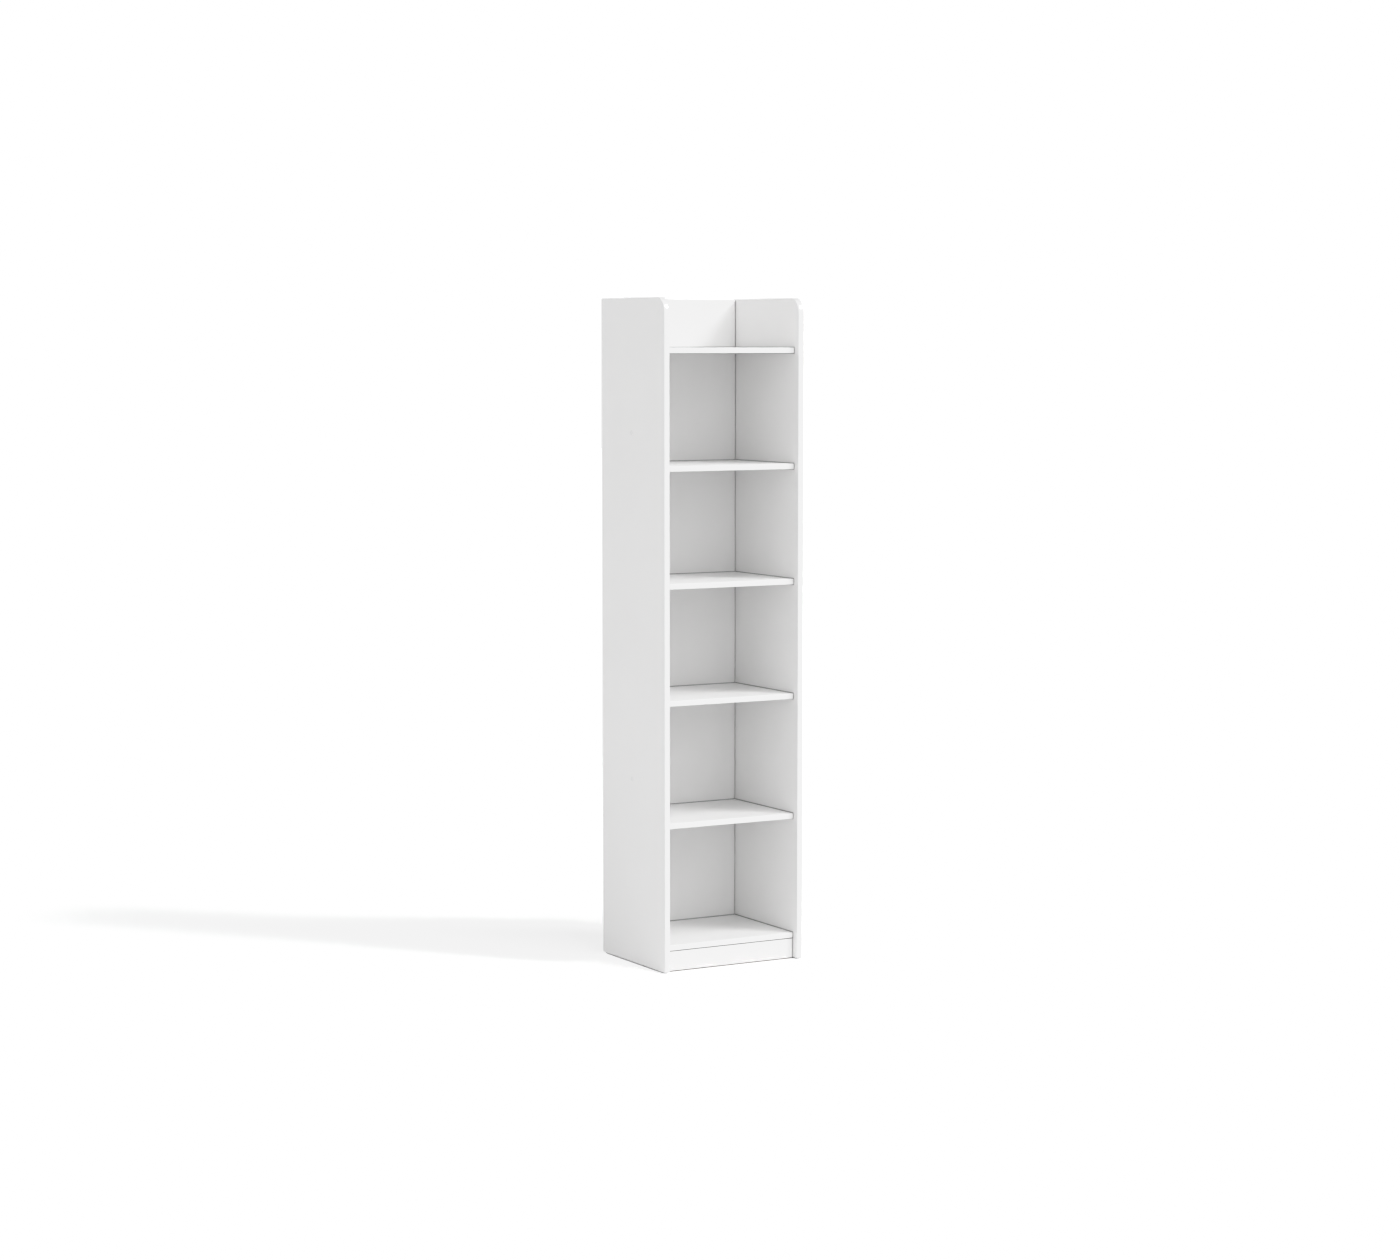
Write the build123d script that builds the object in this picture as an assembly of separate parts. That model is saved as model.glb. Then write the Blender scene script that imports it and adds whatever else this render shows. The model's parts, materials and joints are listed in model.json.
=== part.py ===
"""Tall, narrow, open bookcase in coated board.

Six shelves make five compartments, and the sides and back rise above the top one as a gallery.

Millimetres. +Z is up, the open front faces -Y, and the origin is on the floor, under the middle.
Each function makes one kind of piece, already in its place in the bookcase.
"""
from build123d import *
import os

# Case
HEIGHT = 1890.0
WIDTH = 450.0
DEPTH = 370.0
BOARD = 16.0
GLIDE_HEIGHT = 3.0
BASE_HEIGHT = 60.0
PITCHES = [345.5, 345.5, 328.0, 328.0, 328.0]
SHELF_NAMES = ["bottom_shelf", "shelf_1", "shelf_2", "shelf_3", "shelf_4", "top_shelf"]
SHELF_INSET = 21.0
PLINTH_INSET = 22.5
BACK_INSET = 3.0
BACK_DROP = 2.0
JOINT_GAP = 1.0

# Edges
BAND = 2.0
BAND_ARRIS = 1.8
BOARD_ARRIS = 2.2
TOP_CORNER = 42.0
REAR_CORNER = 6.0
FOOT_CORNER = 6.0

# Cam and bolt, one pair to a shelf end
CAM_FROM_END = 34.0
CAM_HOLE_R = 7.5
CAM_HOLE_DEPTH = 12.5
CAM_R = 7.42
CAM_PLAY = 0.15
CAM_FLOOR = 4.2
CAM_CAVITY_R = 4.2
CAM_TRAVEL = 180.0
CAM_ARROW = 6.5
CAM_ARROW_LENGTH = 1.9
CAM_ARROW_WIDTH = 2.6
CAM_ARROW_DEPTH = 0.5
NECK_SLOT = 5.4
NECK_SWEEP = 39.0
BOLT_HEAD_R = 3.5
BOLT_HEAD_LENGTH = 2.5
BOLT_NECK_R = 2.3
BOLT_SHANK_R = 3.8
BOLT_SHANK_START = 8.0
BOLT_THREAD_R = 3.0
BOLT_THREAD = 11.0

# Dowels
DOWEL_R = 4.0
DOWEL_LENGTH = 30.0
DOWEL_SHORT_SIDE = 10.0
DOWEL_INSET = 37.0
BACK_DOWEL_HEIGHTS = [233.0, 915.0, 1571.0]
PLINTH_DOWEL_HEIGHT = 45.0
PLINTH_DOWEL_X = [-130.0, 0.0, 130.0]

# Screws and nails
SCREW_R = 2.0
SCREW_HEAD_R = 4.0
SCREW_LENGTH = 40.0
BACK_SCREW_X = [-150.0, 0.0, 150.0]
SMALL_SCREW_R = 1.5
SMALL_HEAD_R = 2.9
SMALL_LENGTH = 13.0
NAIL_R = 1.0
NAIL_HEAD_R = 2.2
NAIL_HEAD = 0.8
NAIL_LENGTH = 17.0

# Cover caps on the outer faces
CAP_R = 6.5
CAP_RIM = 0.4
CAP_HEIGHT = 1.3
CAP_STEM_R = 2.5
CAP_STEM = 9.0
CAP_FROM_FRONT = 191.0
CAP_HEIGHTS = [530.0, 1512.0]

# Glides under the sides
GLIDE_LENGTH = 50.0
GLIDE_WIDTH = 13.0
GLIDE_INSET = 10.0
GLIDE_ROUND = 0.8

# Keyhole hangers, let in flush behind the top of the back
HANGER_X = 150.0
HANGER_Z = 1812.0
HANGER_WIDTH = 16.0
HANGER_LENGTH = 56.0
HANGER_THICK = 2.0
HANGER_SCREW_REACH = 21.0
KEY_ENTRY_R = 4.5
KEY_SLOT_R = 2.25
KEY_RISE = 11.0
KEY_DROP = 5.0
KEY_CAVITY_R = 5.5
KEY_CAVITY_DEPTH = 8.0

# Corner brackets behind the plinth
BRACKET_LEG = 30.0
BRACKET_HEIGHT = 20.0
BRACKET_THICK = 2.0
BRACKET_HOLE = 20.0
BRACKET_CENTRE = 20.0

# Play left around a fastener, or at the bottom of its hole
PLAY = 0.05
END_PLAY = 0.5

# Places worked out from the sizes above
INNER = WIDTH / 2 - BOARD
BOARD_END = INNER - JOINT_GAP
FRONT = -DEPTH / 2
REAR = DEPTH / 2
BACK_REAR = REAR - BACK_INSET
BACK_FRONT = BACK_REAR - BOARD
SHELF_FRONT = FRONT + SHELF_INSET
SHELF_MIDDLE = (SHELF_FRONT + BACK_FRONT) / 2
PLINTH_FRONT = FRONT + PLINTH_INSET
PLINTH_REAR = PLINTH_FRONT + BOARD
UNDERSIDES = [BASE_HEIGHT + sum(PITCHES[:n]) for n in range(len(SHELF_NAMES))]
SIDES = {"left": -1, "right": 1}
UP = (0, 0, 1)
DOWN = (0, 0, -1)
FORWARD = (0, -1, 0)
ON_BASE = (Align.CENTER, Align.CENTER, Align.MIN)


# Simple shapes

def block(x, y, z):
    """Box between two limits on each axis."""
    size = [high - low for low, high in (x, y, z)]
    return Pos(x[0], y[0], z[0]) * Box(*size, align=(Align.MIN, Align.MIN, Align.MIN))


def rod(start, direction, radius, length):
    """Round bar that leaves its start point in a direction."""
    return Plane(origin=start, z_dir=direction) * Cylinder(radius, length, align=ON_BASE)


def taper(start, direction, radius, end_radius, length):
    """Round bar whose radius changes evenly along it."""
    return Plane(origin=start, z_dir=direction) * Cone(radius, end_radius, length, align=ON_BASE)


def along(start, direction, distance):
    """Point at a distance from another."""
    return tuple(a + b * distance for a, b in zip(start, direction))


def outward(side):
    """Direction from the middle of the case towards one of its sides."""
    return (side, 0, 0)


# Fastener shapes, each with the hole that it needs

def dowel(start, direction):
    """Beech dowel with chamfered ends."""
    bar = rod(start, direction, DOWEL_R, DOWEL_LENGTH)
    return chamfer(bar.edges().filter_by(GeomType.CIRCLE), 1.0)


def dowel_hole(start, direction):
    """Drilling for the whole of a dowel, with play at both ends."""
    begin = along(start, direction, -END_PLAY)
    return rod(begin, direction, DOWEL_R + PLAY, DOWEL_LENGTH + 2 * END_PLAY)


def cross_recess(start, direction, width, depth):
    """Cross-shaped driver recess, sunk from a face."""
    place = Plane(origin=start, z_dir=direction)
    arm = Box(2.4 * width, 0.5 * width, depth, align=ON_BASE)
    return place * (arm + Rot(0, 0, 90) * arm)


def countersunk_screw(start, direction, radius, head_radius, length):
    """Wood screw with a flat countersunk head, a plain shank and a pointed end."""
    head = head_radius - radius
    shank_end = along(start, direction, length - 3 * radius)
    screw = taper(start, direction, head_radius, radius, head)
    screw += rod(start, direction, radius, length - 3 * radius)
    screw += taper(shank_end, direction, radius, 0.2 * radius, 3 * radius)
    return screw - cross_recess(start, direction, radius, 0.8 * head)


def countersunk_hole(start, direction, radius, head_radius, length):
    """Drilling for a countersunk screw."""
    head = head_radius - radius
    hole = taper(start, direction, head_radius + PLAY, radius + PLAY, head)
    return hole + rod(start, direction, radius + PLAY, length + END_PLAY)


def nail(start):
    """Short nail driven upwards, its head level with its start."""
    bar = rod(start, UP, NAIL_HEAD_R, NAIL_HEAD) + rod(start, UP, NAIL_R, NAIL_LENGTH - 3 * NAIL_R)
    tip = along(start, UP, NAIL_LENGTH - 3 * NAIL_R)
    return bar + taper(tip, UP, NAIL_R, 0.1 * NAIL_R, 3 * NAIL_R)


def nail_hole(start):
    """Hole that a nail makes, with the sinking for its head."""
    hole = rod(along(start, DOWN, 1), UP, NAIL_HEAD_R + PLAY, NAIL_HEAD + 1)
    return hole + rod(start, UP, NAIL_R + PLAY, NAIL_LENGTH + END_PLAY)


# Where the fasteners go

def bolt_start(side, underside):
    """Centre of a shelf's cam at one end, at the height of its bolt."""
    return (side * (INNER - CAM_FROM_END), SHELF_MIDDLE, underside + BOARD / 2)


def dowel_start(side, y, z):
    """Inner end of a dowel that runs out into a side."""
    return (side * (INNER - DOWEL_LENGTH + DOWEL_SHORT_SIDE), y, z)


def shelf_dowel_starts(side, underside):
    """Inner end of the two dowels at one end of a shelf."""
    rows = (SHELF_FRONT + DOWEL_INSET, BACK_FRONT - DOWEL_INSET)
    return [dowel_start(side, y, underside + BOARD / 2) for y in rows]


def back_dowel_starts(side):
    """Inner end of each dowel that runs from the back into a side."""
    return [dowel_start(side, BACK_FRONT + BOARD / 2, z) for z in BACK_DOWEL_HEIGHTS]


def plinth_end_dowel_start(side):
    """Inner end of the dowel that runs from the plinth into a side."""
    return dowel_start(side, PLINTH_FRONT + BOARD / 2, PLINTH_DOWEL_HEIGHT)


def side_dowel_starts(side):
    """Inner end of every dowel that runs into a side."""
    shelves = [start for z in UNDERSIDES for start in shelf_dowel_starts(side, z)]
    return shelves + back_dowel_starts(side) + [plinth_end_dowel_start(side)]


def plinth_dowel_starts():
    """Lower end of each dowel that runs from the plinth up into the bottom shelf."""
    z = BASE_HEIGHT - DOWEL_LENGTH + DOWEL_SHORT_SIDE
    return [(x, PLINTH_FRONT + BOARD / 2, z) for x in PLINTH_DOWEL_X]


def shelf_screw_starts(underside):
    """Head centre of each screw that holds the back to one shelf."""
    return [(x, BACK_REAR, underside + BOARD / 2) for x in BACK_SCREW_X]


def cap_starts(side):
    """Centre of each cover cap, on the outer face of a side."""
    return [(side * WIDTH / 2, FRONT + CAP_FROM_FRONT, z) for z in CAP_HEIGHTS]


def glide_centres(side):
    """Middle of the underside of each of a side's two glides, front first."""
    reach = GLIDE_INSET + GLIDE_LENGTH / 2
    x = side * (INNER + BOARD / 2)
    return {"front": (x, FRONT + reach, 0), "rear": (x, REAR - reach, 0)}


def nail_starts(side):
    """Underside of each nail head, sunk into its glide."""
    return [along(centre, UP, 1.0) for centre in glide_centres(side).values()]


def hanger_screw_starts(side):
    """Head centre of the two screws that hold a hanger."""
    reaches = (-HANGER_SCREW_REACH, HANGER_SCREW_REACH)
    return [(side * HANGER_X, BACK_REAR, HANGER_Z + reach) for reach in reaches]


def bracket_screw_starts(side):
    """Head centre and direction of the two screws that hold a bracket."""
    on_plinth = (side * (INNER - BRACKET_HOLE), PLINTH_REAR + BRACKET_THICK, BRACKET_CENTRE)
    on_side = (side * (INNER - BRACKET_THICK), PLINTH_REAR + BRACKET_HOLE, BRACKET_CENTRE)
    return [(on_plinth, FORWARD), (on_side, outward(side))]


# Sides

def side_face(inset):
    """Outline of a side, drawn a little inside its edges."""
    low = (FRONT + inset, GLIDE_HEIGHT + inset)
    high = (REAR - inset, HEIGHT - inset)
    corners = [low, (high[0], low[1]), high, (low[0], high[1])]
    radii = [FOOT_CORNER, FOOT_CORNER, REAR_CORNER, TOP_CORNER]
    outline = FilletPolyline(*corners, radius=[r - inset for r in radii], close=True)
    return Plane.YZ * make_face(outline)


def side_slab(side, inset):
    """A side's full thickness, inside its outline by an inset."""
    left_face = min(side * INNER, side * WIDTH / 2)
    return Pos(left_face, 0, 0) * extrude(side_face(inset), amount=BOARD)


def side_panel(side):
    """Board of a side, drilled for everything that meets it."""
    panel = side_slab(side, BAND)
    out = outward(side)
    for underside in UNDERSIDES:
        in_side = along(bolt_start(side, underside), out, CAM_FROM_END)
        panel -= rod(in_side, out, BOLT_THREAD_R + PLAY, BOLT_THREAD + END_PLAY)
    for start in side_dowel_starts(side):
        panel -= dowel_hole(start, out)
    for start in cap_starts(side):
        panel -= rod(start, outward(-side), CAP_STEM_R + PLAY, CAP_STEM + END_PLAY)
    for start in nail_starts(side):
        panel -= nail_hole(start)
    pilot, direction = bracket_screw_starts(side)[1]
    return panel - countersunk_hole(pilot, direction, SMALL_SCREW_R, SMALL_HEAD_R, SMALL_LENGTH)


def side_edging(side):
    """Plastic band round the whole edge of a side, with rounded arrises."""
    slab = side_slab(side, 0)
    faces = slab.faces().sort_by(Axis.X)
    slab = fillet(faces[0].edges() + faces[-1].edges(), BAND_ARRIS)
    band = slab - side_slab(side, BAND)
    for start in nail_starts(side):
        band -= nail_hole(start)
    return band


# Back

def back_panel():
    """Board between the sides, closing the whole height behind the shelves."""
    top = HEIGHT - BACK_DROP - BAND
    panel = block((-BOARD_END, BOARD_END), (BACK_FRONT, BACK_REAR), (GLIDE_HEIGHT + BACK_DROP, top))
    uprights = panel.edges().filter_by(Axis.Z).group_by(Axis.Y)[0]
    panel = fillet(uprights, BOARD_ARRIS)
    for start in [start for underside in UNDERSIDES for start in shelf_screw_starts(underside)]:
        panel -= countersunk_hole(start, FORWARD, SCREW_R, SCREW_HEAD_R, SCREW_LENGTH)
    for side in SIDES.values():
        for start in back_dowel_starts(side):
            panel -= dowel_hole(start, outward(side))
        panel -= hanger_pocket(side)
    return panel


def hanger_pocket(side):
    """Sinking for a hanger, the space behind its keyhole, and its two pilot holes."""
    pocket = hanger_blank(side, HANGER_THICK)
    low, high = key_ends(side, BACK_REAR)
    cavity = rod(low, FORWARD, KEY_CAVITY_R, KEY_CAVITY_DEPTH)
    cavity += rod(high, FORWARD, KEY_CAVITY_R, KEY_CAVITY_DEPTH)
    x = side * HANGER_X
    depth = (BACK_REAR - KEY_CAVITY_DEPTH, BACK_REAR)
    cavity += block((x - KEY_CAVITY_R, x + KEY_CAVITY_R), depth, (low[2], high[2]))
    pocket += cavity
    for start in hanger_screw_starts(side):
        pocket += countersunk_hole(start, FORWARD, SMALL_SCREW_R, SMALL_HEAD_R, SMALL_LENGTH)
    return pocket


def band_strip(y, z, outward_axis):
    """Straight edging strip between the sides, round-cornered, its outer face rounded all round."""
    strip = block((-BOARD_END, BOARD_END), y, z)
    corners = strip.edges().filter_by(outward_axis)
    strip = fillet(corners, BOARD_ARRIS)
    outer = strip.faces().sort_by(outward_axis)[-1]
    return fillet(outer.edges(), BAND_ARRIS)


def back_edging():
    """Band along the top edge of the back."""
    top = HEIGHT - BACK_DROP
    return band_strip((BACK_FRONT, BACK_REAR), (top - BAND, top), Axis.Z)


# Shelves and plinth

def shelf(underside):
    """Shelf board, drilled at its ends, underneath and behind."""
    y = (SHELF_FRONT + BAND, BACK_FRONT - JOINT_GAP)
    board = block((-BOARD_END, BOARD_END), y, (underside, underside + BOARD))
    ends = board.edges().filter_by(Axis.Y)
    rear = board.edges().filter_by(Axis.X).group_by(Axis.Y)[-1]
    board = fillet(ends + rear, BOARD_ARRIS)
    for side in SIDES.values():
        out = outward(side)
        centre = bolt_start(side, underside)
        board -= rod(centre, out, DOWEL_R + PLAY, CAM_FROM_END)
        board -= rod(along(centre, DOWN, BOARD / 2), UP, CAM_HOLE_R, CAM_HOLE_DEPTH)
        for start in shelf_dowel_starts(side, underside):
            board -= dowel_hole(start, out)
    for start in shelf_screw_starts(underside):
        board -= countersunk_hole(start, FORWARD, SCREW_R, SCREW_HEAD_R, SCREW_LENGTH)
    if underside == BASE_HEIGHT:
        for start in plinth_dowel_starts():
            board -= dowel_hole(start, UP)
    return board


def shelf_edging(underside):
    """Band along the front edge of a shelf."""
    y = (SHELF_FRONT, SHELF_FRONT + BAND)
    return band_strip(y, (underside, underside + BOARD), -Axis.Y)


def plinth():
    """Upright board that closes the front under the bottom shelf."""
    z = (GLIDE_HEIGHT, BASE_HEIGHT - JOINT_GAP)
    board = block((-BOARD_END, BOARD_END), (PLINTH_FRONT, PLINTH_REAR), z)
    uprights = board.edges().filter_by(Axis.Z).group_by(Axis.Y)[0]
    board = fillet(uprights, BOARD_ARRIS)
    for start in plinth_dowel_starts():
        board -= dowel_hole(start, UP)
    for side in SIDES.values():
        board -= dowel_hole(plinth_end_dowel_start(side), outward(side))
        pilot, direction = bracket_screw_starts(side)[0]
        board -= countersunk_hole(pilot, direction, SMALL_SCREW_R, SMALL_HEAD_R, SMALL_LENGTH)
    return board


# Cams and their bolts

def cam_arrow(side):
    """Arrowhead sunk in a cam's lower face, which points at the side once the cam is released."""
    tip = -side * CAM_ARROW
    tail = -side * (CAM_ARROW - CAM_ARROW_LENGTH)
    half = CAM_ARROW_WIDTH / 2
    outline = Polyline((tip, 0), (tail, half), (tail, -half), close=True)
    place = Pos(0, 0, CAM_PLAY)
    return place * extrude(make_face(outline), CAM_ARROW_DEPTH, both=True)


def cam(side, underside):
    """Zinc cup, open above, with a slot that lets the bolt's neck pass as the cup turns."""
    cup = rod((0, 0, CAM_PLAY), UP, CAM_R, CAM_HOLE_DEPTH - 2 * CAM_PLAY)
    cup -= rod((0, 0, CAM_FLOOR), UP, CAM_CAVITY_R, CAM_HOLE_DEPTH)
    swept = CAM_TRAVEL + 2 * NECK_SWEEP
    on_axis = (Align.NONE, Align.NONE, Align.CENTER)
    slot = Cylinder(CAM_HOLE_R, NECK_SLOT, arc_size=swept, align=on_axis)
    first = NECK_SWEEP - swept + (180 if side < 0 else 0)
    cup -= Pos(0, 0, BOARD / 2) * Rot(0, 0, first) * slot
    cup -= cross_recess((0, 0, CAM_PLAY), UP, 3.2, 2.6)
    cup -= cam_arrow(side)
    return Pos(*bolt_start(side, underside - BOARD / 2)) * cup


def cam_bolt(side, underside):
    """Steel bolt: a head in the cam, a thin neck, a shank in the shelf, a thread in the side."""
    out = outward(side)
    start = bolt_start(side, underside)
    head_start = along(start, out, -BOLT_HEAD_LENGTH / 2)
    bolt = rod(head_start, out, BOLT_HEAD_R, BOLT_HEAD_LENGTH)
    bolt += rod(start, out, BOLT_NECK_R, CAM_FROM_END)
    shank_start = along(start, out, BOLT_SHANK_START)
    bolt += rod(shank_start, out, BOLT_SHANK_R, CAM_FROM_END - BOLT_SHANK_START)
    thread_start = along(start, out, CAM_FROM_END)
    return bolt + rod(thread_start, out, BOLT_THREAD_R, BOLT_THREAD)


# Caps, glides, hangers and brackets

def cover_cap(start, side):
    """Low domed cap with a stem that is pushed into the side."""
    rim = (CAP_R, CAP_RIM)
    crown = (0, CAP_HEIGHT)
    below = Polyline(crown, (0, -CAP_STEM), (CAP_STEM_R, -CAP_STEM), (CAP_STEM_R, 0), (CAP_R, 0), rim)
    dome = TangentArc(crown, rim, tangent=(1, 0))
    profile = Plane.XZ * make_face(below + dome)
    return Plane(origin=start, z_dir=outward(side)) * revolve(profile, axis=Axis.Z)


def glide(centre):
    """Oblong plastic glide with a rounded sole, holed for its nail."""
    sketch = Rot(0, 0, 90) * SlotOverall(GLIDE_LENGTH, GLIDE_WIDTH)
    pad = Pos(*centre) * extrude(sketch, amount=GLIDE_HEIGHT)
    sole = pad.faces().sort_by(Axis.Z)[0]
    pad = fillet(sole.edges(), GLIDE_ROUND)
    return pad - nail_hole(along(centre, UP, 1.0))


def hanger_blank(side, thickness):
    """Strip of a hanger with round ends, flush with the rear of the back."""
    sketch = Plane.XZ * Rot(0, 0, 90) * SlotOverall(HANGER_LENGTH, HANGER_WIDTH)
    strip = extrude(sketch, amount=thickness)
    return Pos(side * HANGER_X, BACK_REAR, HANGER_Z) * strip


def key_ends(side, y):
    """Centre of a keyhole's wide entry, and of the top of its narrow slot."""
    x = side * HANGER_X
    entry = HANGER_Z - KEY_DROP
    return (x, y, entry), (x, y, entry + KEY_RISE)


def hanger(side):
    """Steel keyhole plate that hooks over a screw in the wall."""
    plate = hanger_blank(side, HANGER_THICK)
    low, high = key_ends(side, BACK_REAR)
    plate -= rod(low, FORWARD, KEY_ENTRY_R, HANGER_THICK)
    plate -= rod(high, FORWARD, KEY_SLOT_R, HANGER_THICK)
    slot_x = (low[0] - KEY_SLOT_R, low[0] + KEY_SLOT_R)
    plate -= block(slot_x, (BACK_REAR - HANGER_THICK, BACK_REAR), (low[2], high[2]))
    for start in hanger_screw_starts(side):
        plate -= countersunk_hole(start, FORWARD, SMALL_SCREW_R, SMALL_HEAD_R, SMALL_LENGTH)
    return plate


def bracket(side):
    """Steel angle that ties the plinth to a side."""
    z = (BRACKET_CENTRE - BRACKET_HEIGHT / 2, BRACKET_CENTRE + BRACKET_HEIGHT / 2)
    y = (PLINTH_REAR, PLINTH_REAR + BRACKET_THICK)
    leg_x = sorted((side * (INNER - BRACKET_LEG), side * INNER))
    thick_x = sorted((side * (INNER - BRACKET_THICK), side * INNER))
    angle = block(leg_x, y, z) + block(thick_x, (PLINTH_REAR, PLINTH_REAR + BRACKET_LEG), z)
    for start, direction in bracket_screw_starts(side):
        angle -= countersunk_hole(start, direction, SMALL_SCREW_R, SMALL_HEAD_R, SMALL_LENGTH)
    return angle


# The whole bookcase

def small_screw(start, direction):
    """Short countersunk screw for a hanger or a bracket."""
    return countersunk_screw(start, direction, SMALL_SCREW_R, SMALL_HEAD_R, SMALL_LENGTH)


def case_pieces():
    """Boards and their edging, by name."""
    pieces = {"back_panel": back_panel(), "back_edging": back_edging(), "plinth": plinth()}
    for name, side in SIDES.items():
        pieces[f"side_panel_{name}"] = side_panel(side)
        pieces[f"side_edging_{name}"] = side_edging(side)
    for name, underside in zip(SHELF_NAMES, UNDERSIDES):
        pieces[name] = shelf(underside)
        pieces[f"{name}_edging"] = shelf_edging(underside)
    return pieces


def side_fittings(name, side):
    """Fittings of one side, by name; identical fasteners are one group."""
    out = outward(side)
    pieces = {
        f"dowels_{name}": Compound([dowel(start, out) for start in side_dowel_starts(side)]),
        f"cam_bolts_{name}": Compound([cam_bolt(side, underside) for underside in UNDERSIDES]),
        f"cover_caps_{name}": Compound([cover_cap(start, side) for start in cap_starts(side)]),
        f"hanger_{name}": hanger(side),
        f"plinth_bracket_{name}": bracket(side),
    }
    for end, centre in glide_centres(side).items():
        pieces[f"glide_{end}_{name}"] = glide(centre)
    for shelf_name, underside in zip(SHELF_NAMES, UNDERSIDES):
        pieces[f"{shelf_name}_cam_{name}"] = cam(side, underside)
    return pieces


def shared_fasteners():
    """Fasteners of both sides that share a node."""
    both = list(SIDES.values())
    back_screws = [
        countersunk_screw(start, FORWARD, SCREW_R, SCREW_HEAD_R, SCREW_LENGTH)
        for underside in UNDERSIDES
        for start in shelf_screw_starts(underside)
    ]
    hanger_screws = [
        small_screw(start, FORWARD) for side in both for start in hanger_screw_starts(side)
    ]
    bracket_screws = [
        small_screw(start, direction)
        for side in both
        for start, direction in bracket_screw_starts(side)
    ]
    return {
        "back_screws": Compound(back_screws),
        "hanger_screws": Compound(hanger_screws),
        "bracket_screws": Compound(bracket_screws),
        "glide_nails": Compound([nail(start) for side in both for start in nail_starts(side)]),
        "plinth_dowels": Compound([dowel(start, UP) for start in plinth_dowel_starts()]),
    }


os.makedirs("parts", exist_ok=True)
nodes = case_pieces()
for side_name, side_sign in SIDES.items():
    nodes.update(side_fittings(side_name, side_sign))
nodes.update(shared_fasteners())
for node_name, shape in nodes.items():
    export_step(shape, f"parts/{node_name}.step")
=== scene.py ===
import json
import math

import bmesh
import bpy
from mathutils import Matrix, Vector


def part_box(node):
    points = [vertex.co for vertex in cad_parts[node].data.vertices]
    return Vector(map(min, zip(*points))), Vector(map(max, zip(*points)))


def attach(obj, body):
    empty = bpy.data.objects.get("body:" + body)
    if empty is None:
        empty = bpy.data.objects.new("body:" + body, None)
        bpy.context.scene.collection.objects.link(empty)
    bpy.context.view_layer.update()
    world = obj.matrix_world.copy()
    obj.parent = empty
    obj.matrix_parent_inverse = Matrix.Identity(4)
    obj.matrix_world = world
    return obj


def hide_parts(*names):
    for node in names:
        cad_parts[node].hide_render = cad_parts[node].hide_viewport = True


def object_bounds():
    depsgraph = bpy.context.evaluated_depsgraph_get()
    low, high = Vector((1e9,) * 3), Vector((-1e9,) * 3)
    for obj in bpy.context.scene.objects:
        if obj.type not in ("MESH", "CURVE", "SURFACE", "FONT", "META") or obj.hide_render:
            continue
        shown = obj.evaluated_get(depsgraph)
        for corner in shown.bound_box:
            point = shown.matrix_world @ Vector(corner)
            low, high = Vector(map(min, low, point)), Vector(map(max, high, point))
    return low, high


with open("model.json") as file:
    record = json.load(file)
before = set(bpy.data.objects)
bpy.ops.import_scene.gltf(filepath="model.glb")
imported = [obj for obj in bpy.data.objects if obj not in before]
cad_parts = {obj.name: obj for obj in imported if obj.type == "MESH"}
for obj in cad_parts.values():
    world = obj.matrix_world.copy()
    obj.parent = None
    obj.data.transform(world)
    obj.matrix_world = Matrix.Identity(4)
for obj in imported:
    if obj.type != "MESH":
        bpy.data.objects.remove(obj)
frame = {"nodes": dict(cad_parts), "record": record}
cad_low, cad_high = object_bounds()

# ---------------------------------------------------------------- camera, light and stage

CAMERA_PLACE = (-4.4884, -7.8221, 1.7595)
CAMERA_HEADING = math.radians(-29.813)
CAMERA_PITCH = math.radians(-5.160)
CAMERA_LENS = 81.316
SENSOR_WIDTH = 36.0
CLIP_END = 200.0

# Each lamp: the direction it shines from, its strength, and its spread in degrees.
LAMPS = {
    "key": ((0.53, -0.61, 0.59), 1.53, 20),
    "overhead": ((0.10, -0.40, 0.91), 0.745, 24),
    "fill": ((0.10, -0.85, 0.52), 0.417, 40),
    "rear": ((0.42, 0.90, 0.10), 0.95, 40),
}
# Strengths of the glowing walls, and of the backdrop that only the camera sees.
LEFT_WALL = 1.06
FRONT_WALL = 0.41
BACKDROP = 1.27
# Tone curve: true tones up to the first bend, then a soft shoulder, then white.
SHOULDER = [
    (0, 0),
    (0.72, 0.72),
    (0.85, 0.826),
    (0.95, 0.866),
    (1.05, 0.892),
    (1.14, 0.908),
    (1.22, 1.0),
    (1.26, 1.0),
]
TONE_RANGE = 2.0
FLOOR_REACH = 40.0
FLOOR_GREY = 0.93
FLOOR_ROUGHNESS = 0.9
FLOOR_SPECULAR = 0.2
# The floor's glow to the camera, and the half width and half depth under the case that have none.
FLOOR_GLOW = 0.5
CONTACT = (0.2240, 0.1622)


def add_camera():
    """Camera at the eye height of a standing person, in front and to the left, aimed a little down."""
    data = bpy.data.cameras.new("camera")
    data.lens = CAMERA_LENS
    data.sensor_width = SENSOR_WIDTH
    data.clip_end = CLIP_END
    camera = bpy.data.objects.new("camera", data)
    camera.location = CAMERA_PLACE
    camera.rotation_euler = (math.pi / 2 + CAMERA_PITCH, 0, CAMERA_HEADING)
    bpy.context.scene.collection.objects.link(camera)
    bpy.context.scene.camera = camera


def add_lamps():
    """Large soft lamps: three in front, and a low one behind on the right."""
    for name, (direction, strength, spread) in LAMPS.items():
        data = bpy.data.lights.new(name, "SUN")
        data.energy = strength
        data.angle = math.radians(spread)
        lamp = bpy.data.objects.new(name, data)
        lamp.rotation_euler = Vector(direction).to_track_quat("Z", "Y").to_euler()
        bpy.context.scene.collection.objects.link(lamp)


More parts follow.
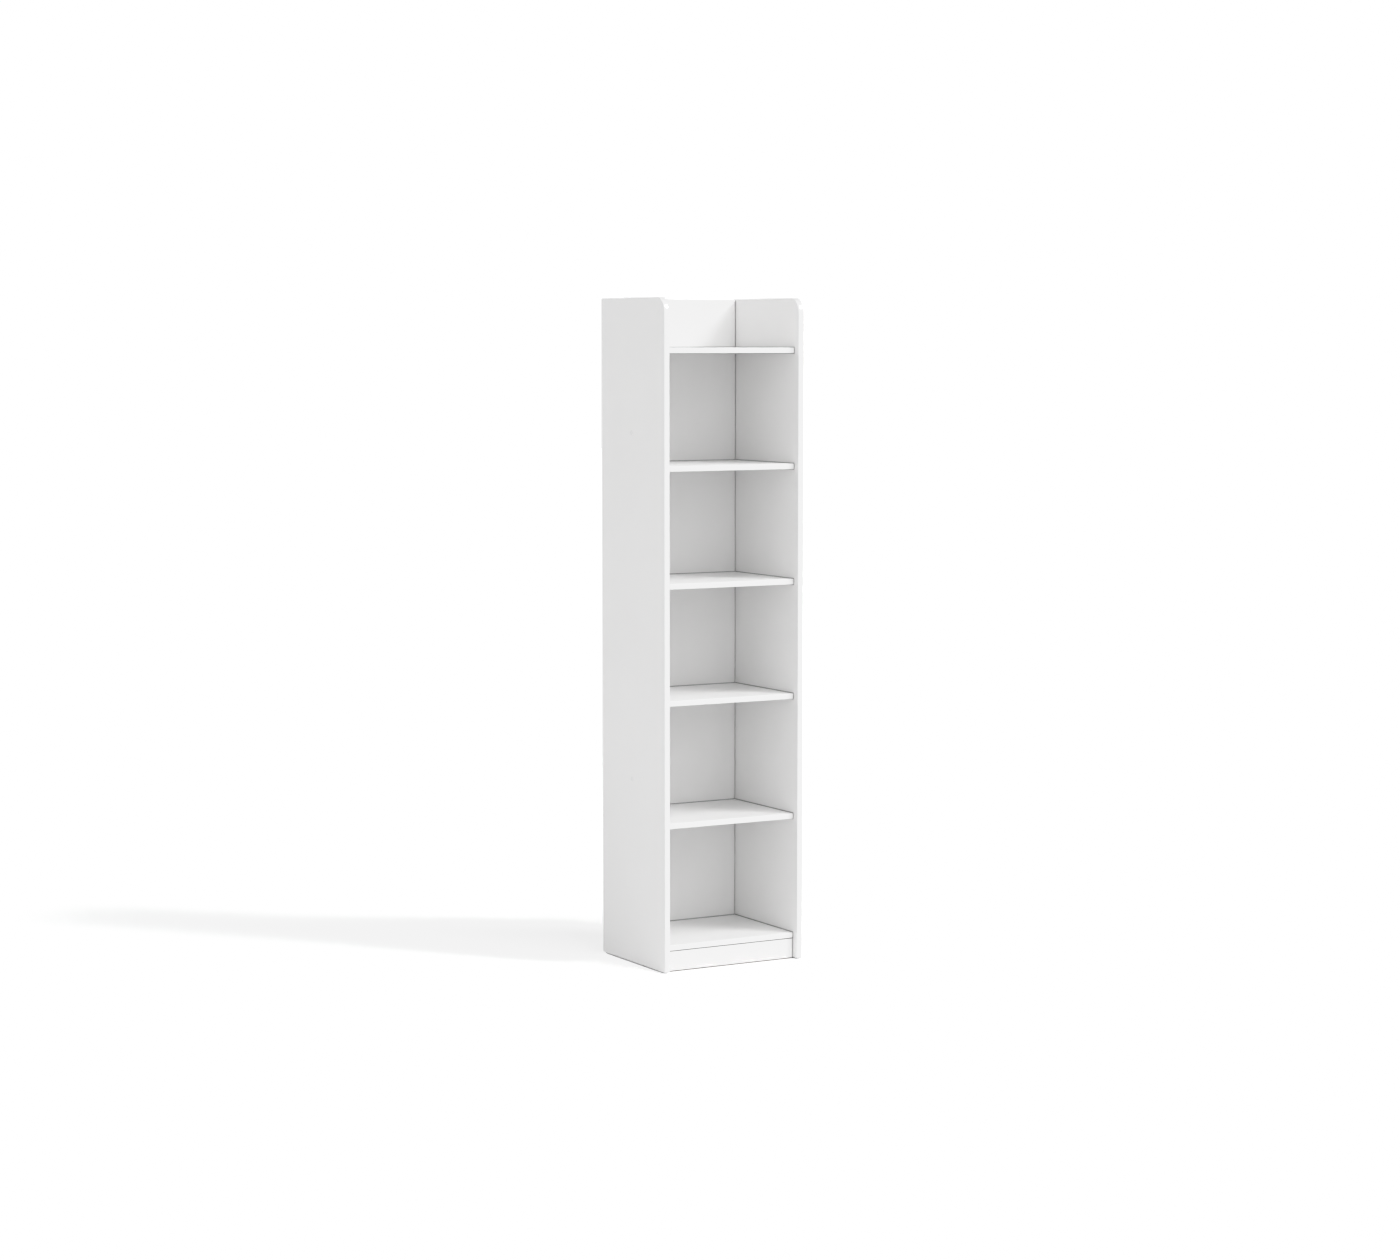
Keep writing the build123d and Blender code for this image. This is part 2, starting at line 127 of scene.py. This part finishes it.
def set_tone():
    """Plain tones, with a soft shoulder that keeps detail in the brightest whites."""
    view = bpy.context.scene.view_settings
    view.view_transform = "Standard"
    view.use_curve_mapping = True
    mapping = view.curve_mapping
    mapping.clip_max_x = TONE_RANGE
    mapping.clip_max_y = TONE_RANGE
    points = mapping.curves[3].points
    points[0].location = SHOULDER[0]
    points[1].location = SHOULDER[-1]
    for place in SHOULDER[1:-1]:
        points.new(*place)
    for point in points:
        point.handle_type = "AUTO_CLAMPED"
    mapping.update()


def add_math(tree, operation, first, second, clamp=False):
    """Math node in a tree or a finish, between an output and an output or a number."""
    node = tree.nodes.new("ShaderNodeMath")
    node.operation = operation
    node.use_clamp = clamp
    tree.links.new(first, node.inputs[0])
    if isinstance(second, (int, float)):
        node.inputs[1].default_value = second
    else:
        tree.links.new(second, node.inputs[1])
    return node.outputs["Value"]


def add_studio():
    """White walls that glow softly to the left and in front, before a plain white backdrop."""
    world = bpy.data.worlds.new("studio")
    world.use_nodes = True
    tree = world.node_tree
    place = tree.nodes.new("ShaderNodeTexCoord").outputs["Generated"]
    parts = tree.nodes.new("ShaderNodeSeparateXYZ")
    tree.links.new(place, parts.inputs["Vector"])
    leftward = add_math(tree, "MULTIPLY", parts.outputs["X"], -1.0, clamp=True)
    forward = add_math(tree, "MULTIPLY", parts.outputs["Y"], -1.0, clamp=True)
    left = add_math(tree, "MULTIPLY", leftward, LEFT_WALL)
    front = add_math(tree, "MULTIPLY", forward, FRONT_WALL)
    seen = tree.nodes.new("ShaderNodeLightPath").outputs["Is Camera Ray"]
    glow = tree.nodes.new("ShaderNodeMix")
    glow.inputs["B"].default_value = BACKDROP
    tree.links.new(seen, glow.inputs["Factor"])
    tree.links.new(add_math(tree, "ADD", left, front), glow.inputs["A"])
    sky = tree.nodes["Background"]
    sky.inputs["Color"].default_value = (1, 1, 1, 1)
    tree.links.new(glow.outputs["Result"], sky.inputs["Strength"])
    bpy.context.scene.world = world


def floor_paint():
    """Pale matt paint that looks as bright as the backdrop, but not under the case."""
    paint = bpy.data.materials.new("floor_paint")
    paint.use_nodes = True
    tree = paint.node_tree
    shader = tree.nodes["Principled BSDF"]
    shader.inputs["Base Color"].default_value = (FLOOR_GREY, FLOOR_GREY, FLOOR_GREY, 1)
    shader.inputs["Roughness"].default_value = FLOOR_ROUGHNESS
    shader.inputs["Specular IOR Level"].default_value = FLOOR_SPECULAR
    shader.inputs["Emission Color"].default_value = (1, 1, 1, 1)
    seen = tree.nodes.new("ShaderNodeLightPath").outputs["Is Camera Ray"]
    place = tree.nodes.new("ShaderNodeTexCoord").outputs["Object"]
    parts = tree.nodes.new("ShaderNodeSeparateXYZ")
    tree.links.new(place, parts.inputs["Vector"])
    clear = [
        add_math(tree, "GREATER_THAN", add_math(tree, "ABSOLUTE", parts.outputs[axis], 0), half)
        for axis, half in zip("XY", CONTACT)
    ]
    open_floor = add_math(tree, "MAXIMUM", *clear)
    glow = add_math(tree, "MULTIPLY", add_math(tree, "MULTIPLY", seen, open_floor), FLOOR_GLOW)
    tree.links.new(glow, shader.inputs["Emission Strength"])
    return paint


def add_floor():
    """Plain pale floor at the height that the glides stand on."""
    mesh = bpy.data.meshes.new("floor")
    reach = FLOOR_REACH
    corners = [(-reach, -reach, 0), (reach, -reach, 0), (reach, reach, 0), (-reach, reach, 0)]
    mesh.from_pydata(corners, [], [(0, 1, 2, 3)])
    floor = bpy.data.objects.new("floor", mesh)
    floor.location.z = cad_low.z
    bpy.context.scene.collection.objects.link(floor)
    mesh.materials.append(floor_paint())


add_camera()
add_lamps()
set_tone()
add_studio()
add_floor()

# ---------------------------------------------------------------- materials

SHELVES = ("bottom_shelf", "shelf_1", "shelf_2", "shelf_3", "shelf_4", "top_shelf")
# Painted shade in the joints, dark where the gaps' shadow falls: its width on a board's own end and on
# the board that the end meets, how far past the end that board is looked for, how much of the colour
# the painted shade covers, and its own colour.
GROOVE = 0.0024
CORNER_SHADE = 0.0030
JOINT = 0.0015
SHADE_COVER = 0.85
SHADE_COLOUR = (0.10, 0.10, 0.10)
# Cosines between which a face comes to count as one that looks along a direction.
FLAT_FROM, FLAT_TO = 0.99, 0.999


class Finish:
    """A node material whose texture coordinates are metres in the part's own frame."""

    def __init__(self, name, roughness=0.5, metallic=0.0):
        self.material = bpy.data.materials.new(name)
        self.material.use_nodes = True
        self.nodes = self.material.node_tree.nodes
        self.links = self.material.node_tree.links
        self.shader = self.nodes["Principled BSDF"]
        self.shader.inputs["Roughness"].default_value = roughness
        self.shader.inputs["Metallic"].default_value = metallic
        self.place = self.nodes.new("ShaderNodeTexCoord").outputs["Object"]

    def noise(self, size, detail, stretch=(1, 1, 1)):
        """Noise whose features are about a size in metres, longer where stretch is over 1."""
        mapping = self.nodes.new("ShaderNodeMapping")
        mapping.inputs["Scale"].default_value = [1 / s for s in stretch]
        self.links.new(self.place, mapping.inputs["Vector"])
        texture = self.nodes.new("ShaderNodeTexNoise")
        texture.inputs["Scale"].default_value = 1 / size
        texture.inputs["Detail"].default_value = detail
        self.links.new(mapping.outputs["Vector"], texture.inputs["Vector"])
        return texture.outputs["Fac"]

    def ramp(self, source, stops):
        """Colour ramp with a list of (position, colour)."""
        ramp = self.nodes.new("ShaderNodeValToRGB")
        elements = ramp.color_ramp.elements
        while len(elements) < len(stops):
            elements.new(0.5)
        for element, (position, colour) in zip(elements, stops):
            element.position = position
            element.color = (*colour, 1)
        self.links.new(source, ramp.inputs["Fac"])
        return ramp.outputs["Color"]

    def spread(self, source, low, high, source_low=0.3, source_high=0.7):
        """The source stretched to run from low to high."""
        node = self.nodes.new("ShaderNodeMapRange")
        node.inputs["From Min"].default_value = source_low
        node.inputs["From Max"].default_value = source_high
        node.inputs["To Min"].default_value = low
        node.inputs["To Max"].default_value = high
        self.links.new(source, node.inputs["Value"])
        return node.outputs["Result"]

    def mix(self, factor, first, second):
        """Second colour over the first, by a factor."""
        node = self.nodes.new("ShaderNodeMix")
        node.data_type = "RGBA"
        self.links.new(factor, node.inputs["Factor"])
        self.links.new(first, node.inputs["A"])
        self.links.new(second, node.inputs["B"])
        return node.outputs["Result"]

    def bump(self, source, depth, strength):
        """Bump of a depth in metres."""
        node = self.nodes.new("ShaderNodeBump")
        node.inputs["Distance"].default_value = depth
        node.inputs["Strength"].default_value = strength
        self.links.new(source, node.inputs["Height"])
        return node.outputs["Normal"]

    def facing(self, ways):
        """1 on flat faces that look along any of some directions, and 0 elsewhere."""
        looks = self.nodes.new("ShaderNodeNewGeometry").outputs["True Normal"]
        total = None
        for way in ways:
            dot = self.nodes.new("ShaderNodeVectorMath")
            dot.operation = "DOT_PRODUCT"
            dot.inputs[1].default_value = way
            self.links.new(looks, dot.inputs[0])
            found = self.spread(dot.outputs["Value"], 0, 1, FLAT_FROM, FLAT_TO)
            total = found if total is None else add_math(self, "MAXIMUM", total, found)
        return total

    def joint_shade(self, lines):
        """Painted shade on a board's ends, where the joint's shadow falls. Each line is an axis, and
        where on it the painted shade starts and is darkest.
        """
        total = None
        for axis, start, end in lines:
            parts = self.nodes.new("ShaderNodeSeparateXYZ")
            self.links.new(self.place, parts.inputs["Vector"])
            reach = add_math(self, "ABSOLUTE", parts.outputs[axis], 0)
            found = self.spread(reach, 0, SHADE_COVER, start, end)
            total = found if total is None else add_math(self, "MAXIMUM", total, found)
        return total

    def shelf_shade(self):
        """Painted shade on the sides and the back, in the corners where the shelves meet them."""
        parts = self.nodes.new("ShaderNodeSeparateXYZ")
        self.links.new(self.place, parts.inputs["Vector"])
        total = None
        for name in SHELVES:
            low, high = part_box(name)
            height = add_math(self, "SUBTRACT", parts.outputs["Z"], (low.z + high.z) / 2)
            reach = add_math(self, "ABSOLUTE", height, 0)
            half = (high.z - low.z) / 2
            found = self.spread(reach, SHADE_COVER, 0, half, half + CORNER_SHADE)
            total = found if total is None else add_math(self, "MAXIMUM", total, found)
        front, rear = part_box("top_shelf")
        across = add_math(self, "ABSOLUTE", parts.outputs["X"], 0)
        inside = [
            add_math(self, "LESS_THAN", across, rear.x + JOINT),
            add_math(self, "LESS_THAN", parts.outputs["Y"], rear.y + JOINT),
            add_math(self, "GREATER_THAN", parts.outputs["Y"], front.y),
        ]
        for mask in inside:
            total = add_math(self, "MULTIPLY", total, mask)
        return total

    def connect(self, **sockets):
        """Join outputs to the shader's sockets, by name with _ for a space."""
        for name, output in sockets.items():
            self.links.new(output, self.shader.inputs[name.replace("_", " ")])
        return self.material


def grey(value, warmth=0.0):
    """Neutral colour, a little warmer or cooler."""
    return (value * (1 + warmth), value, value * (1 - warmth))


def paint_shade(finish, colour, where):
    """A colour darkened by painted shade where a mask is above 0."""
    shade_rgb = finish.nodes.new("ShaderNodeRGB")
    shade_rgb.outputs["Color"].default_value = (*SHADE_COLOUR, 1)
    return finish.mix(where, colour, shade_rgb.outputs["Color"])


def melamine(name, bare_ways, shade_lines=(), meets_shelves=False):
    """White film on chipboard: fine pearl texture, with bare chips on the cut edges."""
    finish = Finish(name)
    cloud = finish.noise(0.35, 3)
    pearl = finish.noise(0.0011, 2)
    white = finish.ramp(cloud, [(0.3, grey(0.885, 0.003)), (0.7, grey(0.900, 0.002))])
    chip_shape = finish.noise(0.0022, 4, stretch=(1.8, 1, 1))
    chip_colours = [(0.3, (0.32, 0.24, 0.17)), (0.5, (0.48, 0.39, 0.29)), (0.7, (0.64, 0.54, 0.42))]
    chips = finish.ramp(chip_shape, chip_colours)
    bare = finish.facing(bare_ways)
    colour = finish.mix(bare, white, chips)
    # Painted shade along the joints at the board's ends.
    if shade_lines:
        colour = paint_shade(finish, colour, finish.joint_shade(shade_lines))
    # Painted shade in the corners where the shelves meet the board.
    if meets_shelves:
        colour = paint_shade(finish, colour, finish.shelf_shade())
    rough = finish.spread(pearl, 0.36, 0.48)
    return finish.connect(Base_Color=colour, Roughness=rough, Normal=finish.bump(pearl, 0.00004, 0.5))


def edge_band(name, shade_lines=()):
    """Extruded plastic band: smoother than the film, with faint long waves."""
    finish = Finish(name)
    waves = finish.noise(0.036, 2)
    cloud = finish.noise(0.15, 2)
    white = finish.ramp(cloud, [(0.3, grey(0.895)), (0.7, grey(0.905))])
    rough = finish.spread(finish.noise(0.0015, 2), 0.28, 0.38)
    # Painted shade on the band's ends, where the joints' shadow falls.
    colour = paint_shade(finish, white, finish.joint_shade(shade_lines)) if shade_lines else white
    return finish.connect(Base_Color=colour, Roughness=rough, Normal=finish.bump(waves, 0.00003, 0.4))


def beech():
    """Turned beech with pale flecks along the dowel."""
    finish = Finish("beech", roughness=0.6)
    grain = finish.noise(0.0012, 4, stretch=(14, 1, 1))
    tones = [(0.3, (0.50, 0.31, 0.16)), (0.55, (0.66, 0.45, 0.27)), (0.75, (0.74, 0.55, 0.36))]
    colour = finish.ramp(grain, tones)
    return finish.connect(Base_Color=colour, Normal=finish.bump(grain, 0.0001, 0.6))


def zinc_plate():
    """Bright zinc plate on steel, with a faint bluish and yellow cast."""
    finish = Finish("zinc_plate", metallic=1.0)
    patch = finish.noise(0.006, 3)
    casts = [(0.3, (0.60, 0.64, 0.70)), (0.55, (0.72, 0.73, 0.74)), (0.75, (0.76, 0.73, 0.64))]
    colour = finish.ramp(patch, casts)
    scratch = finish.noise(0.0004, 3)
    rough = finish.spread(scratch, 0.2, 0.42)
    return finish.connect(Base_Color=colour, Roughness=rough, Normal=finish.bump(scratch, 0.00002, 0.6))


def cast_zinc():
    """Dull grey casting with a fine grain."""
    finish = Finish("cast_zinc", metallic=1.0)
    grain = finish.noise(0.0005, 4)
    patch = finish.noise(0.004, 2)
    colour = finish.ramp(patch, [(0.3, (0.42, 0.43, 0.45)), (0.7, (0.56, 0.56, 0.57))])
    rough = finish.spread(grain, 0.35, 0.6)
    return finish.connect(Base_Color=colour, Roughness=rough, Normal=finish.bump(grain, 0.00006, 0.8))


def cap_plastic():
    """Smooth moulded white plastic."""
    finish = Finish("cap_plastic")
    flow = finish.noise(0.004, 2)
    white = finish.ramp(flow, [(0.3, grey(0.88)), (0.7, grey(0.90))])
    rough = finish.spread(finish.noise(0.0012, 2), 0.2, 0.32)
    return finish.connect(Base_Color=white, Roughness=rough, Normal=finish.bump(flow, 0.00005, 0.4))


def glide_plastic():
    """Light grey plastic with a spark-eroded texture, scuffed on its sole."""
    finish = Finish("glide_plastic")
    grain = finish.noise(0.0006, 3)
    scuff = finish.noise(0.003, 4, stretch=(1, 6, 1))
    colour = finish.ramp(scuff, [(0.35, grey(0.42)), (0.6, grey(0.52))])
    rough = finish.spread(grain, 0.45, 0.7)
    return finish.connect(Base_Color=colour, Roughness=rough, Normal=finish.bump(grain, 0.00008, 0.8))


CUT_ENDS = [(1, 0, 0), (-1, 0, 0)]
CUT_BELOW = (0, 0, -1)
CUT_ABOVE = (0, 0, 1)
CUT_BEHIND = (0, 1, 0)
board_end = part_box("shelf_1")[1]
plinth_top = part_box("plinth")[1].z
# Where painted shade darkens the joints: a shelf's ends and rear edge, and the plinth's top.
END_SHADE = ("X", board_end.x - GROOVE, board_end.x)
REAR_SHADE = ("Y", board_end.y - GROOVE, board_end.y)
TOP_SHADE = ("Z", plinth_top - GROOVE, plinth_top)
# Sides and back also carry painted shade where the shelves meet them.
BOARDS = {
    "side_panel_left": melamine("melamine_side", [CUT_BELOW], meets_shelves=True),
    "back_panel": melamine(
        "melamine_back", [*CUT_ENDS, CUT_BELOW, CUT_ABOVE], [END_SHADE], meets_shelves=True
    ),
    "plinth": melamine("melamine_plinth", [*CUT_ENDS, CUT_BELOW, CUT_ABOVE], [END_SHADE, TOP_SHADE]),
    "shelf_1": melamine("melamine_shelf", [*CUT_ENDS, CUT_BEHIND], [END_SHADE, REAR_SHADE]),
}
SHELF_BAND = edge_band("edge_band_shelf", [END_SHADE])
BOARDS["side_panel_right"] = BOARDS["side_panel_left"]
for shelf in SHELVES:
    BOARDS[shelf] = BOARDS["shelf_1"]
FINISHES = {
    "edging": edge_band("edge_band_side"),
    "beech": beech(),
    "zinc_steel": zinc_plate(),
    "cast_zinc": cast_zinc(),
    "cap_plastic": cap_plastic(),
    "glide_plastic": glide_plastic(),
}


def finish_nodes():
    """Give every CAD node the finish of its slot in the record."""
    slots = {part["node"]: part["material_slot"] for part in frame["record"]["subparts"]}
    for name, node in frame["nodes"].items():
        node.data.materials.clear()
        node.data.materials.append(BOARDS.get(name) or FINISHES[slots[name]])


finish_nodes()

# ---------------------------------------------------------------- edging, with true round arrises

# Radii of the arrises, of a strip's end corners, and of a side's top front and other corners.
ARRIS = 0.0018
END_CORNER = 0.0022
TOP_CORNER = 0.042
SMALL_CORNER = 0.006
BAND = 0.002
ARRIS_STEPS = 7
CORNER_STEPS = 28
ROUND_PROFILE = 0.5
CREASE = math.radians(30)
PARALLEL = 0.9


def add_piece(name, mesh, node):
    """A smooth-shaded mesh that rides on the case and stands for a CAD node."""
    mesh.shade_smooth()
    mesh.set_sharp_from_angle(angle=CREASE)
    piece = bpy.data.objects.new(name, mesh)
    bpy.context.scene.collection.objects.link(piece)
    mesh.materials.append(SHELF_BAND if "shelf" in name else FINISHES["edging"])
    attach(piece, "case")
    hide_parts(node)


def quarter_turn(steps):
    """Angles from 0 to a quarter turn."""
    return [math.pi / 2 * step / steps for step in range(steps + 1)]


def loop_outline(low, high, radii):
    """Outline of an upright rectangle with rounded corners, as (y, z, inward y, inward z)."""
    corners = [
        (low[0], low[1], math.pi, radii[0]),
        (high[0], low[1], 1.5 * math.pi, radii[1]),
        (high[0], high[1], 0.0, radii[2]),
        (low[0], high[1], 0.5 * math.pi, radii[3]),
    ]
    outline = []
    for y, z, start, radius in corners:
        centre_y = y + radius if y == low[0] else y - radius
        centre_z = z + radius if z == low[1] else z - radius
        for angle in quarter_turn(CORNER_STEPS if radius == TOP_CORNER else ARRIS_STEPS):
            across, up = math.cos(start + angle), math.sin(start + angle)
            outline.append((centre_y + radius * across, centre_z + radius * up, -across, -up))
    return outline


def band_section(width):
    """Section of a band with round outer arrises, as (across, depth below its outer face)."""
    turn = quarter_turn(ARRIS_STEPS)
    first = [(ARRIS - ARRIS * math.cos(a), ARRIS - ARRIS * math.sin(a)) for a in turn]
    second = [(width - across, depth) for across, depth in reversed(first)]
    return [(0, BAND), *first, *second, (width, BAND)]


def side_band(side):
    """Edging round the whole edge of a side, swept along the side's outline."""
    node = f"side_edging_{side}"
    low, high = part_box(node)
    radii = (SMALL_CORNER, SMALL_CORNER, SMALL_CORNER, TOP_CORNER)
    outline = loop_outline((low[1], low[2]), (high[1], high[2]), radii)
    section = band_section(high[0] - low[0])
    points = [
        (low[0] + across, y + inward_y * depth, z + inward_z * depth)
        for y, z, inward_y, inward_z in outline
        for across, depth in section
    ]
    count = len(section)
    faces = []
    for ring in range(len(outline)):
        following = (ring + 1) % len(outline)
        for step in range(count):
            beside = (step + 1) % count
            ends = (ring * count, following * count)
            faces.append((ends[0] + step, ends[0] + beside, ends[1] + beside, ends[1] + step))
    mesh = bpy.data.meshes.new(f"band_{side}")
    mesh.from_pydata(points, [], faces)
    turn_outward(mesh)
    add_piece(f"band_{side}", mesh, node)


def turn_outward(mesh):
    """Make every face look out of its solid."""
    form = bmesh.new()
    form.from_mesh(mesh)
    bmesh.ops.recalc_face_normals(form, faces=form.faces)
    form.to_mesh(mesh)
    form.free()


def edge_direction(edge):
    """Unit vector along an edge."""
    return (edge.verts[1].co - edge.verts[0].co).normalized()


def round_edges(form, edges, radius):
    """Round some edges of a bmesh."""
    bmesh.ops.bevel(
        form,
        geom=edges,
        offset=radius,
        segments=ARRIS_STEPS,
        profile=ROUND_PROFILE,
        affect="EDGES",
        clamp_overlap=False,
    )


def straight_band(node, outward):
    """Straight strip of edging, its outer face rounded along every edge."""
    low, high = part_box(node)
    form = bmesh.new()
    bmesh.ops.create_cube(form, size=1)
    middle, size = (low + high) / 2, high - low
    bmesh.ops.scale(form, vec=size, verts=form.verts)
    bmesh.ops.translate(form, vec=middle, verts=form.verts)
    form.normal_update()
    corners = [edge for edge in form.edges if abs(edge_direction(edge).dot(outward)) > PARALLEL]
    round_edges(form, corners, END_CORNER)
    form.normal_update()
    face = max(form.faces, key=lambda each: each.normal.dot(outward))
    round_edges(form, list(face.edges), ARRIS)
    mesh = bpy.data.meshes.new(f"{node}_band")
    form.to_mesh(mesh)
    form.free()
    add_piece(f"{node}_band", mesh, node)


for side in ("left", "right"):
    side_band(side)
for name in frame["nodes"]:
    if name.endswith("_edging"):
        straight_band(name, Vector((0, 0, 1) if name == "back_edging" else (0, -1, 0)))
